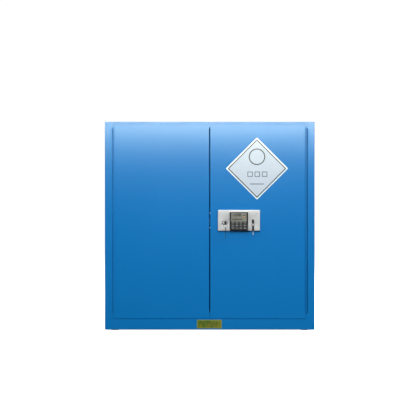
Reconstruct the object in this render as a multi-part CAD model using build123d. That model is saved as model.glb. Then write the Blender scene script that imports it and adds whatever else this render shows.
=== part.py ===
from build123d import *
import os
from math import cos, pi, sin

# Two-door steel safety cabinet, closed, seen from the front along +Y.
# Millimetres. Origin at the bottom centre of the whole box, +Z up, doors on the -Y side.

# ---- the cabinet -------------------------------------------------------------------------
width = 1090.0            # over the side walls
depth = 460.0             # front of the frame to the back wall
height = 1086.0           # floor to the top sheet
skirt_low = 6.0           # lowest edge of the shell, held clear of the floor by the feet
sheet = 1.2
side_x = width / 2
key_reach = 39.0          # how far the hanging keys stand out in front
stud_reach = 20.0         # how far the earthing stud stands out behind
front_y = (key_reach - depth - stud_reach) / 2

# ---- the face of the frame ---------------------------------------------------------------
opening_x = 507.0         # inner edge of each stile
strip_top = 60.0          # upper edge of the bottom strip
header_low = 1077.0       # lower edge of the top strip
stop_x = 490.0            # clear opening behind the doors
sill_top = 93.0
header_clear = 1055.0
stop_depth = 17.0         # face of the stop flange, behind the front plane
frame_depth = 45.0        # back of the frame channel
frame_low, frame_high = 42.0, 1082.0
magnet_places = (-80.0, 40.0)
fold_r = 2.0

# ---- the liner ---------------------------------------------------------------------------
liner_x = 507.0
liner_floor = 48.0
liner_ceiling = 1056.0
liner_depth = 422.0
liner_sheet = 1.0

# ---- the doors ---------------------------------------------------------------------------
door_gap = 3.0            # half of the gap between the doors
door_x = 496.0            # hinged edge
door_low = 63.5
door_high = 1073.5
skin_depth = 16.0
pan_near = 12.0
pan_far = 487.0
pan_low = 97.0
pan_high = 1052.0
pan_depth = 40.0
lip_depth = 14.8

# ---- the continuous hinges ---------------------------------------------------------------
hinge_x = 500.5
hinge_depth = -1.5
hinge_low = 95.0
hinge_high = 1050.0
barrel_r = 3.0
knuckle_bore_r = 1.75
pin_r = 1.4
knuckle_count = 39
leaf_gap = 0.3            # leaf to the other leaf's knuckles
leaf_reach = 517.0        # outer edge of the leaf on the stile
knuckle_gap = 0.3

# ---- the lock ----------------------------------------------------------------------------
main_x, main_z = 224.0, 569.0
override_x, override_z = 82.0, 561.6
gear_module = 1.0
gear_teeth = 16
pitch_r = gear_module * gear_teeth / 2
bolt_heights = (535.9, 611.7)
bolt_r = 4.0
bolt_axis_depth = 7.0
bolt_tip_x = 0.5
rod_r = 4.0
rod_depth = 28.0
hole_clearance = 0.3
top_rod_x = main_x - pitch_r - 9.0
bottom_rod_x = main_x + pitch_r + 9.0
plug_r = 6.0
barrel_bore_r = 6.3
barrel_outer_r = 8.5
plug_face = -11.5
plug_back = 10.0
keyway = (2.6, 8.6)
collar_r, collar_thick = 11.0, 2.5
oval_collar = (29.0, 17.0)
oval_shift = 3.7            # centre of the oval collar, left of its lock
pinion_depths = (12.5, 31.0)
carrier_depths = (10.0, 13.0)
rod_rack_depths = (22.0, 30.0)
top_rod_ends = (544.0, 1051.5)
bottom_rod_ends = (97.8, 594.0)
rod_guides_top = (660.0, 800.0, 940.0)
rod_guides_bottom = (200.0, 330.0, 460.0)
bearing_x = (212.0, 236.0)
carrier_guide_x = (257.0, 261.0)

# ---- the keys ----------------------------------------------------------------------------
key_axis_depth = -28.0      # depth of the hole in each bow, where its ring hangs
bow_width = 22.0
blade_half, blade_thick_half = 4.0, 1.1
bow_corner = 6.0
ring_wire_r = 0.8

# ---- the panel and keypad on the right door ----------------------------------------------
panel_x, panel_z = 151.8, 573.3
panel_size = (218.0, 108.0)
panel_depth = 8.0
bezel_x, bezel_z = 151.1, 570.7
bezel_size = (95.6, 92.4)
bezel_front = -20.0
window_z = 590.5
window_size = (81.5, 45.6)
key_size = (15.6, 9.8)
key_pitch = (20.6, 14.4)
key_rows, key_columns = 3, 4
key_middle_z = 547.2
key_front = -21.5

board_x, board_z, board_thick = (107.0, 195.0), (528.0, 613.0), 1.6
battery_x, battery_z, battery_deep = (100.0, 200.0), (620.0, 660.0), 18.0

# ---- plates on the front -----------------------------------------------------------------
placard_x, placard_z = 245.6, 843.0
placard_half = 162.0        # centre to corner
placard_thick = 1.0
label_x, label_z = -1.9, 35.0
label_size = (130.0, 47.0)
label_thick = 0.6

# ---- feet, vents, shelf ------------------------------------------------------------------
foot_x = 495.0
foot_depths = (55.0, 405.0)
foot_pad_r = 20.0
foot_pad_high = 9.0
foot_stud_r = 5.0
vent_bore_r = 25.0
vent_outer_r = 30.0
vent_mouth_r = 27.5         # wider mouth that takes the cap
vent_mouth_deep = 8.0
vents = {"left": (-1, 300.0, 150.0), "right": (1, 300.0, 985.0)}   # side, depth, height
ground_x, ground_z = 480.0, 130.0
tray_x, tray_high, tray_wall = 500.0, 30.0, 1.5
tray_depths = (52.0, 415.0)
shelf_x, shelf_floor, shelf_lip = 497.0, 548.0, 32.0
shelf_depths = (58.0, 412.0)
standard_depths = (85.0, 350.0)
left_bolt_x = -32.0
left_bolt_stud_top, left_bolt_stud_bottom = 965.0, 185.0


def block(x0, x1, d0, d1, z0, z1):
    """A box between two x, two depths behind the front plane and two heights."""
    middle = Pos((x0 + x1) / 2, front_y + (d0 + d1) / 2, (z0 + z1) / 2)
    return middle * Box(abs(x1 - x0), abs(d1 - d0), abs(z1 - z0))


def rod_y(x, z, r, d0, d1):
    """A round bar along Y from depth d0 to depth d1."""
    return Pos(x, front_y + (d0 + d1) / 2, z) * Rot(X=90) * Cylinder(r, abs(d1 - d0))


def rod_z(x, d, r, z0, z1):
    return Pos(x, front_y + d, (z0 + z1) / 2) * Cylinder(r, abs(z1 - z0))


def rod_x(d, z, r, x0, x1):
    return Pos((x0 + x1) / 2, front_y + d, z) * Rot(Y=90) * Cylinder(r, abs(x1 - x0))


def front_plate(sketch, d0, d1):
    """Push a sketch drawn in the front view, x to the right and z up, from depth d0 to d1."""
    face_plane = Plane(origin=(0, front_y + d0, 0), x_dir=(1, 0, 0), z_dir=(0, -1, 0))
    return extrude(face_plane * sketch, -(d1 - d0))


def save(name, shape):
    export_step(shape, f"parts/{name}.step")
    print(name, round(shape.volume))


# ---- the fixed cabinet -------------------------------------------------------------------

def side_panel(side):
    """A side wall folded round at the front into the stile."""
    body = block(side * opening_x, side * side_x, 0, depth, skirt_low, height)
    outer_front = body.edges().filter_by(Axis.Z).group_by(Axis.Y)[0].sort_by(Axis.X)[-1 if side > 0 else 0]
    body = fillet(outer_front, fold_r)
    body -= block(side * (opening_x - 1), side * (side_x - sheet), sheet, depth + 1, 0, height + 1)
    vent_side, d, z = vents["right" if side > 0 else "left"]
    return body - rod_x(d, z, vent_outer_r, vent_side * (side_x - 5), vent_side * (side_x + 5))


def top_panel():
    """The top sheet, folded down at the front into the top strip."""
    inside = side_x - sheet
    body = block(-inside, inside, 0, depth, header_low, height)
    front_top = body.edges().filter_by(Axis.X).group_by(Axis.Z)[-1].sort_by(Axis.Y)[0]
    body = fillet(front_top, fold_r)
    body -= block(-side_x, side_x, sheet, depth + 1, 0, height - sheet)
    for side in (-1, 1):
        body -= block(side * opening_x, side * side_x, -1, sheet, 0, height + 1)
    return body


def bottom_strip():
    """The strip under the doors with its lip turned in at the bottom."""
    body = block(-opening_x, opening_x, 0, 16, skirt_low, strip_top)
    front_low = body.edges().filter_by(Axis.X).group_by(Axis.Z)[0].sort_by(Axis.Y)[0]
    body = fillet(front_low, fold_r)
    return body - block(-side_x, side_x, sheet, 17, skirt_low + sheet, height)


def outer_shell():
    """Four folded sheets, welded edge to edge."""
    return Compound([side_panel(-1), side_panel(1), top_panel(), bottom_strip()])


def back_panel():
    inside = side_x - sheet
    body = block(-inside, inside, depth - sheet, depth, skirt_low + 2, height - sheet)
    return body - rod_y(ground_x, ground_z, 4.0, depth - 5, depth + 5)


def base_pan():
    low = foot_pad_high + 1
    inside = side_x - sheet
    body = block(-inside, inside, sheet, depth - sheet, low, low + sheet)
    for x in (-foot_x, foot_x):
        for d in foot_depths:
            nut = extrude(Pos(x, front_y + d, low + sheet) * RegularPolygon(9.8, 6), 8)
            body += nut
            body -= rod_z(x, d, foot_stud_r + 0.2, low - 5, low + 20)
    return body


def inner_liner():
    """Five sheets welded into a tub that opens to the front."""
    low, high, back = liner_floor, liner_ceiling, liner_depth - liner_sheet
    sheets = [block(-liner_x, liner_x, frame_depth, liner_depth, low - liner_sheet, low),
              block(-liner_x, liner_x, frame_depth, liner_depth, high, high + liner_sheet),
              block(-liner_x, liner_x, back, liner_depth, low, high)]
    for side, d, z in vents.values():
        wall = block(side * (liner_x - liner_sheet), side * liner_x, frame_depth, back, low, high)
        sheets.append(wall - rod_x(d, z, vent_outer_r, side * (liner_x - 5), side * (liner_x + 5)))
    return Compound(sheets)


def jamb(side):
    """A square tube beside the opening, with a fin forward to the stile."""
    outer = opening_x + sheet
    tube = block(side * stop_x, side * outer, stop_depth, frame_depth, frame_low, frame_high)
    tube -= block(side * (stop_x + sheet), side * (outer - sheet), stop_depth + sheet,
                  frame_depth - sheet, 0, height + 1)
    return tube + block(side * opening_x, side * outer, sheet, stop_depth, strip_top - sheet, header_low + sheet)


def rail(edge, fin, far, rod_places):
    """The channel across the opening: edge faces the opening, fin meets the strip, far is its tail."""
    up = 1 if fin > edge else -1
    body = block(-stop_x, stop_x, stop_depth, stop_depth + sheet, edge, fin + up * sheet)
    body += block(-stop_x, stop_x, stop_depth, frame_depth, edge, edge + up * sheet)
    body += block(-stop_x, stop_x, frame_depth - sheet, frame_depth, edge, far)
    body += block(-opening_x, opening_x, sheet, stop_depth, fin, fin + up * sheet)
    for x in rod_places:
        body -= rod_z(x, rod_depth, rod_r + 0.8, edge - 5, edge + 5)
    return body


def door_stop_frame():
    """Two jambs, the header and the sill, all round the opening."""
    header = rail(header_clear, header_low, frame_high, (left_bolt_x, top_rod_x))
    for x in magnet_places:
        header -= block(x, x + 40, stop_depth - 1, stop_depth + 2 * sheet, 1059, 1071)
    sill = rail(sill_top, strip_top, frame_low, (left_bolt_x, bottom_rod_x))
    return Compound([jamb(-1), jamb(1), header, sill])


def catch_magnets():
    return Compound([block(x, x + 40, stop_depth - 0.4, stop_depth + 8, 1059, 1071) for x in magnet_places])


def open_box(x, d0, d1, z0, z1, wall):
    """A floor and four walls of one thickness, open at the top, as five plates that meet."""
    plates = [block(-x, x, d0, d1, z0, z0 + wall)]
    for side in (-1, 1):
        plates.append(block(side * (x - wall), side * x, d0, d1, z0 + wall, z1))
    for edge in (d0, d1 - wall):
        plates.append(block(-x + wall, x - wall, edge, edge + wall, z0 + wall, z1))
    return Compound(plates)


def sump_tray():
    return open_box(tray_x, *tray_depths, liner_floor, liner_floor + tray_high, tray_wall)


def shelf():
    return open_box(shelf_x, *shelf_depths, shelf_floor, shelf_floor + shelf_lip, sheet)


def shelf_standards():
    """Four slotted uprights on the liner's side walls."""
    wall_x = liner_x - liner_sheet
    uprights = []
    for side in (-1, 1):
        for d in standard_depths:
            upright = block(side * (wall_x - 6), side * wall_x, d, d + 26, 100, 1020)
            upright -= block(side * (wall_x - 4.5), side * (wall_x + 1), d + 1.5, d + 24.5, 99, 1021)
            for step in range(18):
                z = 130 + 50 * step
                upright -= block(side * (wall_x - 7), side * (wall_x - 3), d + 9, d + 17, z, z + 14)
            uprights.append(upright)
    return Compound(uprights)


def shelf_clips():
    """A hook through a slot of each upright, under the shelf."""
    wall_x = liner_x - liner_sheet
    clips = []
    for side in (-1, 1):
        for d in standard_depths:
            tongue = block(side * (wall_x - 16), side * (wall_x - 2), d + 9.3, d + 16.7, 535, 538)
            prop = block(side * (wall_x - 16), side * (wall_x - 6), d + 4, d + 22, 538, shelf_floor)
            clips.append(tongue + prop)
    return Compound(clips)


def vent_bushings():
    """A flanged tube through the double wall at each vent."""
    inner_x = liner_x - liner_sheet - 3
    bushings = []
    for side, d, z in vents.values():
        tube = rod_x(d, z, vent_outer_r, side * inner_x, side * side_x)
        tube += rod_x(d, z, vent_outer_r + 7, side * inner_x, side * (liner_x - liner_sheet))
        tube -= rod_x(d, z, vent_bore_r, side * (inner_x - 1), side * (side_x + 1))
        tube -= rod_x(d, z, vent_mouth_r, side * (side_x - vent_mouth_deep), side * (side_x + 1))
        bushings.append(tube)
    return Compound(bushings)


def flame_arresters():
    """A perforated disc behind the inner flange of each vent."""
    outer_x = liner_x - liner_sheet - 3
    discs = []
    for side, d, z in vents.values():
        disc = rod_x(d, z, vent_outer_r + 5, side * (outer_x - 4), side * outer_x)
        spots = [(0, 0)] + [(r * cos(2 * pi * i / n), r * sin(2 * pi * i / n))
                            for r, n in ((9, 6), (18, 12)) for i in range(n)]
        for a, b in spots:
            disc -= rod_x(d + a, z + b, 3, side * (outer_x - 5), side * (outer_x + 1))
        discs.append(disc)
    return Compound(discs)


def ground_terminal():
    """The earthing stud with its lock nuts and washer."""
    stud = rod_y(ground_x, ground_z, 4.0, depth - 8, depth + stud_reach)
    for d0, d1 in ((depth - sheet - 5, depth - sheet), (depth + 1.6, depth + 6.6)):
        hexagon = Pos(ground_x, ground_z) * RegularPolygon(7.2, 6)
        stud += front_plate(hexagon, d0, d1)
    return stud + rod_y(ground_x, ground_z, 8.5, depth, depth + 1.6)


def base_label():
    plate = Pos(label_x, label_z) * RectangleRounded(*label_size, 2)
    return front_plate(plate, -label_thick, 0)


# ---- the continuous hinges ---------------------------------------------------------------

def knuckle(side, index):
    """One knuckle of the barrel, counted from the bottom."""
    step = (hinge_high - hinge_low) / knuckle_count
    z0 = hinge_low + index * step + knuckle_gap / 2
    z1 = z0 + step - knuckle_gap
    return z0, z1, rod_z(side * hinge_x, hinge_depth, barrel_r, z0, z1)


def hinge_leaf(side, on_door):
    """A flat leaf with every second knuckle."""
    near_axis = hinge_x - barrel_r - leaf_gap
    if on_door:
        leaf = block(side * door_x, side * near_axis, -1, 14, hinge_low, hinge_high)
    else:
        leaf = block(side * (hinge_x + barrel_r + leaf_gap), side * leaf_reach, -sheet, 0,
                     hinge_low, hinge_high)
    for index in range(1 if on_door else 0, knuckle_count, 2):
        z0, z1, barrel = knuckle(side, index)
        if on_door:
            tongue = block(side * door_x, side * (door_x + 2.5), -1, 0.4, z0, z1)
        else:
            tongue = block(side * (hinge_x + 1.5), side * (hinge_x + 5), -sheet, 0, z0, z1)
        leaf += barrel + tongue
    return leaf - rod_z(side * hinge_x, hinge_depth, knuckle_bore_r, hinge_low - 1, hinge_high + 1)


def hinge_pins():
    """A long pin with a small peened head at each end."""
    pins = []
    for side in (-1, 1):
        pin = rod_z(side * hinge_x, hinge_depth, pin_r, hinge_low - 1.5, hinge_high + 1.5)
        for z0 in (hinge_low - 1.5, hinge_high + 0.3):
            pin += rod_z(side * hinge_x, hinge_depth, 2.4, z0, z0 + 1.2)
        pins.append(pin)
    return Compound(pins)


# ---- the doors ---------------------------------------------------------------------------

def door_skin(side):
    """The outer sheet, folded back all round and in again behind."""
    body = block(side * door_gap, side * door_x, 0, skin_depth, door_low, door_high)
    body = fillet(body.faces().sort_by(Axis.Y)[0].edges(), 0.8)
    body -= block(side * (door_gap + sheet), side * (door_x - sheet), sheet, lip_depth,
                  door_low + sheet, door_high - sheet)
    body -= block(side * pan_near, side * pan_far, lip_depth - 1, skin_depth + 1, pan_low, pan_high)
    for z in bolt_heights:
        body -= rod_x(bolt_axis_depth, z, bolt_r + 0.6, side * (door_gap - 1), side * (door_gap + 3))
    return body


def right_door_skin():
    body = door_skin(1)
    for x, z in ((main_x, main_z), (override_x, override_z)):
        body -= rod_y(x, z, barrel_outer_r, -1, sheet + 1)
    return body


def door_pan(side):
    """The inner pan: a shallow box, open to the front, butted into the skin's lips."""
    body = block(side * pan_near, side * pan_far, lip_depth, pan_depth, pan_low, pan_high)
    return body - block(side * (pan_near + sheet), side * (pan_far - sheet), lip_depth - 1,
                        pan_depth - sheet, pan_low + sheet, pan_high - sheet)


def rod_guide(x, z):
    return block(x - 7, x + 7, 20, pan_depth - sheet, z, z + 3)


def right_door_pan():
    body = door_pan(1)
    for z in rod_guides_top:
        body += rod_guide(top_rod_x, z)
    for z in rod_guides_bottom:
        body += rod_guide(bottom_rod_x, z)
    body -= rod_z(top_rod_x, rod_depth, rod_r + hole_clearance, 600, pan_high + 1)
    return body - rod_z(bottom_rod_x, rod_depth, rod_r + hole_clearance, pan_low - 1, 500)


def left_door_pan():
    body = door_pan(-1)
    for z in (953, 1010, 135, 194):
        body += rod_guide(left_bolt_x, z)
    body -= rod_z(left_bolt_x, rod_depth, rod_r + hole_clearance, 940, pan_high + 1)
    body -= rod_z(left_bolt_x, rod_depth, rod_r + hole_clearance, pan_low - 1, 210)
    for z, travel in ((left_bolt_stud_top, 15), (left_bolt_stud_bottom, -15)):
        low, high = sorted((z, z + travel))
        body -= block(left_bolt_x - 3.4, left_bolt_x + 3.4, pan_depth - 5, pan_depth + 5, low - 3.4, high + 3.4)
    return body


def flush_bolt(end_z, stud_z, tail_z):
    """A round bolt with a thumb stud through the slot in the pan."""
    body = rod_z(left_bolt_x, rod_depth, rod_r, end_z, tail_z)
    body += rod_y(left_bolt_x, stud_z, 3.0, rod_depth, pan_depth + 4)
    return body + rod_y(left_bolt_x, stud_z, 7.0, pan_depth + 1, pan_depth + 5)


def meeting_seal():
    """The rubber strip on the right door's free edge that closes the gap."""
    return block(-1.5, door_gap, 11.5, skin_depth, pan_low, pan_high)


def door_placard():
    edge = placard_half * 2 ** 0.5
    plate = Pos(placard_x, placard_z) * Rot(Z=45) * RectangleRounded(edge, edge, 5)
    return front_plate(plate, -placard_thick, 0)


# ---- the lock panel ----------------------------------------------------------------------

def lock_panel():
    wall = 1.5
    half_x, half_z = panel_size[0] / 2, panel_size[1] / 2
    body = block(panel_x - half_x, panel_x + half_x, -panel_depth, 0, panel_z - half_z, panel_z + half_z)
    body = fillet(body.edges().filter_by(Axis.Y), 4)
    body = chamfer(body.faces().sort_by(Axis.Y)[0].edges(), 2.5)
    body -= block(panel_x - half_x + 2.6, panel_x + half_x - 2.6, -panel_depth + wall, 1,
                  panel_z - half_z + 2.6, panel_z + half_z - 2.6)
    for x, z in ((main_x, main_z), (override_x, override_z)):
        body -= rod_y(x, z, barrel_outer_r, -panel_depth - 1, 1)
    return body


def key_places():
    for row in range(key_rows):
        for column in range(key_columns):
            x = bezel_x + (column - (key_columns - 1) / 2) * key_pitch[0]
            z = key_middle_z - (row - 1) * key_pitch[1]
            yield row * key_columns + column + 1, x, z


def keypad_bezel():
    wall = 2.0
    half_x, half_z = bezel_size[0] / 2, bezel_size[1] / 2
    body = block(bezel_x - half_x, bezel_x + half_x, bezel_front, -panel_depth, bezel_z - half_z,
                 bezel_z + half_z)
    body = fillet(body.edges().filter_by(Axis.Y), 3)
    body = fillet(body.faces().sort_by(Axis.Y)[0].edges(), 0.8)
    body -= block(bezel_x - half_x + wall, bezel_x + half_x - wall, bezel_front + wall, 0,
                  bezel_z - half_z + wall, bezel_z + half_z - wall)
    body -= block(bezel_x - window_size[0] / 2, bezel_x + window_size[0] / 2, bezel_front - 1,
                  bezel_front + 3, window_z - window_size[1] / 2, window_z + window_size[1] / 2)
    for _, x, z in key_places():
        body -= block(x - key_size[0] / 2 - 0.3, x + key_size[0] / 2 + 0.3, bezel_front - 1,
                      bezel_front + 3, z - key_size[1] / 2 - 0.3, z + key_size[1] / 2 + 0.3)
    return body


def display_window():
    return block(bezel_x - window_size[0] / 2, bezel_x + window_size[0] / 2, bezel_front + 0.6,
                 bezel_front + 2.6, window_z - window_size[1] / 2, window_z + window_size[1] / 2)


def keypad_key(x, z):
    """A key cap with the flange that holds it behind the bezel."""
    half_x, half_z = key_size[0] / 2, key_size[1] / 2
    cap = block(x - half_x, x + half_x, key_front, -12.5, z - half_z, z + half_z)
    cap = fillet(cap.faces().sort_by(Axis.Y)[0].edges(), 0.6)
    return cap + block(x - half_x - 1.2, x + half_x + 1.2, -17.5, -16, z - half_z - 0.8, z + half_z + 0.8)


def circuit_board():
    return block(*board_x, -panel_depth - board_thick, -panel_depth, *board_z)


def battery_box():
    """The battery holder on the inner face of the right door."""
    body = block(*battery_x, pan_depth, pan_depth + battery_deep, *battery_z)
    return fillet(body.faces().sort_by(Axis.Y)[-1].edges(), 3)


# ---- the lock inside the right door ------------------------------------------------------

def lock_barrels():
    """The fixed bodies of the two cylinder locks, with an oval and a round collar."""
    front = -panel_depth - collar_thick
    oval = Pos(override_x - oval_shift, override_z) * SlotOverall(*oval_collar)
    collars = (front_plate(oval, front, -panel_depth), rod_y(main_x, main_z, collar_r, front, -panel_depth))
    barrels = []
    for collar, x, z in zip(collars, (override_x, main_x), (override_z, main_z)):
        barrel = collar + rod_y(x, z, barrel_outer_r, -panel_depth, plug_back)
        barrels.append(barrel - rod_y(x, z, barrel_bore_r, front - 1, plug_back + 1))
    return Compound(barrels)


def pinion_profile():
    """Straight-flanked teeth, a little thin so that the racks run free."""
    tip_r, root_r = pitch_r + 0.9, pitch_r - 1.25
    step = 2 * pi / gear_teeth
    points = []
    for tooth in range(gear_teeth):
        middle = tooth * step
        for offset, r in ((-0.36, root_r), (-0.11, tip_r), (0.11, tip_r), (0.36, root_r)):
            angle = middle + offset * step
            points.append((main_x + r * cos(angle), main_z + r * sin(angle)))
    return make_face(Polyline(*points, close=True))


def main_plug():
    """The main lock's plug, its shaft and the pinion that moves the bolts and rods."""
    near, far = pinion_depths
    body = rod_y(main_x, main_z, plug_r, plug_face, plug_back)
    body += rod_y(main_x, main_z, 4.0, plug_back, near)
    body += front_plate(pinion_profile(), near, far)
    body += rod_y(main_x, main_z, 3.0, far, far + 4.5)
    return body - keyway_cut(main_x, main_z)


def keyway_cut(x, z):
    return block(x - keyway[0] / 2, x + keyway[0] / 2, plug_face - 1, 1, z - keyway[1] / 2, z + keyway[1] / 2)


def override_plug():
    """The override lock's plug with its cam."""
    body = rod_y(override_x, override_z, plug_r, plug_face, plug_back)
    body += rod_y(override_x, override_z, 3.5, plug_back, 18)
    body += block(override_x - 4.5, override_x + 4.5, 15, 18, override_z - 4.5, override_z + 21)
    return body - keyway_cut(override_x, override_z)


def key_bow(x, thick, near, z0, z1):
    """The flat head of a key, seen edge-on from the front, with rounded corners."""
    bow = block(x - thick / 2, x + thick / 2, near, near + bow_width, z0, z1)
    return fillet(bow.edges().filter_by(Axis.X), bow_corner)


def inserted_key(x, z, thick, hole_z, hole_r):
    """A key in its lock, with its bow upright."""
    blade = block(x - blade_thick_half, x + blade_thick_half, -15, 0, z - blade_half, z + blade_half)
    shoulder = block(x - blade_thick_half, x + blade_thick_half, -14, plug_face, z - 5, z + 5)
    bow = key_bow(x, thick, plug_face - 2 - bow_width, z - 11, z + 11)
    return blade + bow + shoulder - rod_x(key_axis_depth, hole_z, hole_r, x - 10, x + 10)


def hanging_key(x, top_z, ring_r, hole_r, thick, slack, bow_high, blade_long):
    """A split ring hanging from top_z, and the spare key that hangs from its lowest point."""
    ring = Pos(x, front_y + key_axis_depth, top_z - ring_r) * Rot(X=90) * Torus(ring_r, ring_wire_r)
    hole_z = top_z - 2 * ring_r - slack
    bow_top = hole_z + hole_r + 2.6
    bow_bottom = bow_top - bow_high
    key = key_bow(x, thick, key_axis_depth - bow_width / 2, bow_bottom, bow_top)
    key += block(x - blade_thick_half, x + blade_thick_half, key_axis_depth - blade_half,
                 key_axis_depth + blade_half, bow_bottom - blade_long, bow_bottom + 4)
    return Compound([ring, key - rod_x(key_axis_depth, hole_z, hole_r, x - 10, x + 10)])


def rack_profile(length_from, length_to, body_height, phase):
    """A rack with its pitch line on y = 0, teeth up, running along x."""
    tip, root = 0.9, -1.25
    step = pi * gear_module
    points = [(length_from, -body_height), (length_from, root)]
    first = phase + step * (int((length_from + 2 - phase) / step) + 1)
    centre = first
    while centre + 1.5 < length_to:
        points += [(centre - 1.05, root), (centre - 0.42, tip), (centre + 0.42, tip), (centre + 1.05, root)]
        centre += step
    points += [(length_to, root), (length_to, -body_height)]
    return make_face(Polyline(*points, close=True))


def bolt_carrier():
    """Two bolts, the plate that joins them and the rack under the pinion."""
    near, far = carrier_depths
    body = block(22, 46, near, far, bolt_heights[0] - 8, bolt_heights[1] + 7.3)
    for z in bolt_heights:
        bolt = rod_x(bolt_axis_depth, z, bolt_r, bolt_tip_x, 46)
        body += chamfer(bolt.faces().sort_by(Axis.X)[0].edges(), 0.8)
    body += block(40, main_x + 52, near, far, 538, 550)
    body += block(main_x - 14, main_x + 28, near, far, 540, 557)
    rack = Pos(main_x, main_z - pitch_r) * rack_profile(-14, 28, 8, pi / 2)
    return body + front_plate(rack, far - 0.1, far + 4)


def driven_rod(x, ends, pitch_x, turn):
    """A rod with its rack beside the pinion."""
    rack = Pos(pitch_x, main_z) * Rot(Z=turn) * rack_profile(-8, 25, 7, pi / 2)
    return rod_z(x, rod_depth, rod_r, *ends) + front_plate(rack, *rod_rack_depths)


def top_rod():
    """The rod up to the header, with its rack on the left of the pinion."""
    return driven_rod(top_rod_x, top_rod_ends, main_x - pitch_r, -90)


def bottom_rod():
    """The rod down to the sill, with its rack on the right of the pinion."""
    return driven_rod(bottom_rod_x, bottom_rod_ends, main_x + pitch_r, 90)


def gear_bracket():
    """The rear bearing of the pinion shaft and the guide of the bolt carrier, both on the skin."""
    far = pinion_depths[1] + 3.5
    bearing = block(*bearing_x, sheet, sheet + 1.5, 600, 622) + block(*bearing_x, sheet, far, 600, 602)
    bearing += block(*bearing_x, far - 1.5, far, 558, 602)
    bearing -= rod_y(main_x, main_z, 3.2, 30, 36)
    guide = block(*carrier_guide_x, sheet, 18, 530, 558)
    guide -= block(250, 270, carrier_depths[0] - 0.3, carrier_depths[1] + 0.3, 537.6, 550.4)
    return Compound([bearing, guide])


# ---- feet and vent caps ------------------------------------------------------------------

def foot(x, d):
    """A levelling foot: a pad and its threaded stud, drawn plain."""
    body = rod_z(x, d, foot_pad_r, 0, foot_pad_high)
    body = chamfer(body.faces().sort_by(Axis.Z)[-1].edges(), 2)
    return body + rod_z(x, d, foot_stud_r, foot_pad_high - 1, 44)


def vent_cap(side, d, z):
    """A cap with a ring that pushes into the vent's mouth."""
    body = rod_x(d, z, 34, side * (side_x + 0.3), side * (side_x + 3))
    body = chamfer(body.faces().sort_by(Axis.X)[-1 if side > 0 else 0].edges(), 1)
    ring = rod_x(d, z, vent_mouth_r - 0.3, side * (side_x - vent_mouth_deep + 1), side * (side_x + 1))
    ring -= rod_x(d, z, vent_bore_r + 0.4, side * (side_x - vent_mouth_deep), side * (side_x + 2))
    return body + ring


os.makedirs("parts", exist_ok=True)

for make in (outer_shell, back_panel, base_pan, inner_liner, door_stop_frame, sump_tray, shelf,
             shelf_standards, shelf_clips, vent_bushings, flame_arresters, ground_terminal,
             catch_magnets, hinge_pins, base_label, right_door_skin, right_door_pan, left_door_pan,
             meeting_seal, door_placard, lock_panel, keypad_bezel, display_window, circuit_board,
             battery_box, lock_barrels, gear_bracket, main_plug, override_plug, bolt_carrier,
             top_rod, bottom_rod):
    save(make.__name__, make())

save("hinge_frame_leaves", Compound([hinge_leaf(-1, False), hinge_leaf(1, False)]))
save("left_hinge_leaf", hinge_leaf(-1, True))
save("right_hinge_leaf", hinge_leaf(1, True))
save("left_door_skin", door_skin(-1))
save("left_top_bolt", flush_bolt(1049, left_bolt_stud_top, 950))
save("left_bottom_bolt", flush_bolt(100, left_bolt_stud_bottom, 200))

save("main_key", inserted_key(main_x, main_z, 7.0, 561, 3.4))
save("override_key", inserted_key(override_x, override_z, 2.2, 556, 2.4))
save("main_spare_key", hanging_key(main_x, 559.5, 8.2, 3.4, 7.0, 1.6, 28, 22))
save("override_spare_key", hanging_key(override_x, 554.7, 10.0, 2.4, 2.2, 1.2, 25, 36))

for number, x, z in key_places():
    save(f"keypad_key_{number}", keypad_key(x, z))

for number, (x, d) in enumerate(((x, d) for d in foot_depths for x in (-foot_x, foot_x)), start=1):
    save(f"foot_{number}", foot(x, d))

for name, (side, d, z) in vents.items():
    save(f"vent_cap_{name}", vent_cap(side, d, z))
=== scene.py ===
import math
import bmesh
import bpy
from mathutils import Matrix, Vector


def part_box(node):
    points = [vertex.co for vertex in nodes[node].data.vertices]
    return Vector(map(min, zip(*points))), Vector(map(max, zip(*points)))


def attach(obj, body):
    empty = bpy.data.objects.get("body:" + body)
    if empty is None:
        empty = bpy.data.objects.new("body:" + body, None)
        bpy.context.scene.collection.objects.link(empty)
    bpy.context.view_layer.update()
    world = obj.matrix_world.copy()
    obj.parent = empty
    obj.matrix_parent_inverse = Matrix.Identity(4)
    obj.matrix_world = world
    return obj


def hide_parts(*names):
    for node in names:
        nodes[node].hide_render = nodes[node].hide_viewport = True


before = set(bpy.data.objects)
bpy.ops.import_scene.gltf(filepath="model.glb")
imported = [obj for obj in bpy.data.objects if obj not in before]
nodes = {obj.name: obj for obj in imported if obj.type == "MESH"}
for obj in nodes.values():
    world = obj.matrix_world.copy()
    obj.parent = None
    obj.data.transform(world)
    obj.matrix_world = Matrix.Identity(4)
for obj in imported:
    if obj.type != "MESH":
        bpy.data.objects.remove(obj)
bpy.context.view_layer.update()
mm = 0.001
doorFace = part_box("left_door_skin")[0].y      # y of the cabinet's front plane
print("frame loaded:", len(nodes), "nodes")

# Lengths in the dictionaries are millimetres. A depth is counted back from the front plane,
# so what stands out towards the viewer has a negative depth.

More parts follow.
